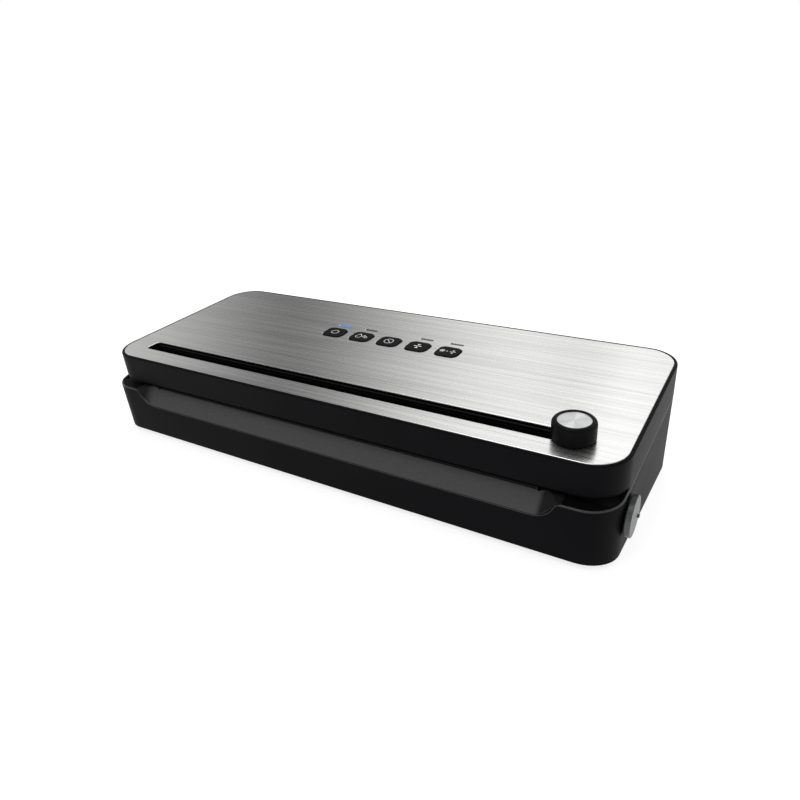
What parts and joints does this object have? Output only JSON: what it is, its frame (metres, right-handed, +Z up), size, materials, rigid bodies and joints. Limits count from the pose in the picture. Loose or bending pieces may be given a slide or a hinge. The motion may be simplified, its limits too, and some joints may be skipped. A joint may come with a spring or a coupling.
{
  "type": "vacuum sealer",
  "caption": "Countertop vacuum sealer with a sloping brushed steel lid, sliding bag cutter, push buttons, front bag ramp and side lock knob.",
  "frame": {"origin": "on the floor, below the middle of the whole outline", "axes": "+X to the right along the front, +Y to the back, +Z up"},
  "size_m": [0.395, 0.1672, 0.0843],
  "materials": {
    "black_housing": "fine satin moulding",
    "lid_black": "fine satin moulding",
    "deck_grey": "fine satin moulding",
    "steel_plate": "brushed along the width",
    "track_black": "matt",
    "knob_black": "satin",
    "disc_metal": "spun",
    "blade_steel": "ground",
    "button_black": "soft gloss",
    "light_blue": "lit window",
    "light_grey": "unlit window",
    "lock_grey": "satin",
    "hook_plastic": "satin",
    "seal_rubber": "silicone",
    "gasket_foam": "closed-cell foam",
    "foot_rubber": "matt",
    "bar_metal": "plain",
    "strip_metal": "plain",
    "tape_brown": "coated glass cloth",
    "hose_silicone": "clear silicone",
    "pump_plastic": "moulded",
    "motor_steel": "plated can",
    "shaft_steel": "ground",
    "core_iron": "laminations",
    "coil_tape": "wrapped winding",
    "board_green": "circuit board",
    "board_parts": "components",
    "screw_steel": "plated",
    "prong_brass": "plated"
  },
  "bodies": {
    "base": {"base_housing": "black_housing", "bottom_cover": "black_housing", "lower_deck": "deck_grey", "suction_nozzle": "hook_plastic", "pump_bracket": "hook_plastic", "main_standoffs": "hook_plastic", "lower_gasket": "gasket_foam", "rubber_feet": "foot_rubber", "seal_bar": "bar_metal", "heating_strip": "strip_metal", "seal_tape": "tape_brown", "suction_hose": "hose_silicone", "pump_head": "pump_plastic", "lock_switches": "pump_plastic", "mains_inlet": "pump_plastic", "pump_motor": "motor_steel", "hinge_pins": "shaft_steel", "transformer_core": "core_iron", "transformer_coil": "coil_tape", "main_board": "board_green", "board_components": "board_parts", "deck_screws": "screw_steel", "cover_screws": "screw_steel", "inlet_prongs": "prong_brass"},
    "lid": {"lid_shell": "lid_black", "lid_panel": "lid_black", "top_plate": "steel_plate", "cutter_track": "track_black", "power_light": "light_blue", "mode_lights": "light_grey", "lid_hooks": "hook_plastic", "press_rubber": "seal_rubber", "upper_gasket": "gasket_foam", "control_board": "board_green", "tact_switches": "board_parts", "board_screws": "screw_steel", "panel_screws": "screw_steel"},
    "cutter": {"cutter_knob": "knob_black", "knob_disc": "disc_metal", "cutter_carriage": "track_black", "cutter_blade": "blade_steel"},
    "lock": {"lock_knob": "lock_grey", "lock_shaft": "shaft_steel", "lock_claws": "hook_plastic"},
    "power_key": {"power_button": "button_black"},
    "moisture_key": {"moisture_button": "button_black"},
    "stop_key": {"stop_button": "button_black"},
    "seal_key": {"seal_button": "button_black"},
    "vacuum_key": {"vacuum_button": "button_black"}
  },
  "joints": [
    {"name": "lid_hinge", "type": "hinge", "parent": "base", "child": "lid", "pos_m": [0, 0.07684, 0.06171], "axis": [-1, 0, 0], "range_deg": [0, 75]},
    {"name": "cutter_slide", "type": "slide", "parent": "lid", "child": "cutter", "axis": [-1, 0, 0], "range_m": [0, 0.3248]},
    {"name": "lock_turn", "type": "hinge", "parent": "base", "child": "lock", "pos_m": [0, -0.05428, 0.0269], "axis": [1, 0, 0], "range_deg": [0, 90]},
    {"name": "power_press", "type": "slide", "parent": "lid", "child": "power_key", "axis": [0, 0.1397, -0.9902], "range_m": [0, 0.0008], "stiffness_N_per_m": 400, "springref_m": -0.001},
    {"name": "moisture_press", "type": "slide", "parent": "lid", "child": "moisture_key", "axis": [0, 0.1397, -0.9902], "range_m": [0, 0.0008], "stiffness_N_per_m": 400, "springref_m": -0.001},
    {"name": "stop_press", "type": "slide", "parent": "lid", "child": "stop_key", "axis": [0, 0.1397, -0.9902], "range_m": [0, 0.0008], "stiffness_N_per_m": 400, "springref_m": -0.001},
    {"name": "seal_press", "type": "slide", "parent": "lid", "child": "seal_key", "axis": [0, 0.1397, -0.9902], "range_m": [0, 0.0008], "stiffness_N_per_m": 400, "springref_m": -0.001},
    {"name": "vacuum_press", "type": "slide", "parent": "lid", "child": "vacuum_key", "axis": [0, 0.1397, -0.9902], "range_m": [0, 0.0008], "stiffness_N_per_m": 400, "springref_m": -0.001}
  ]
}
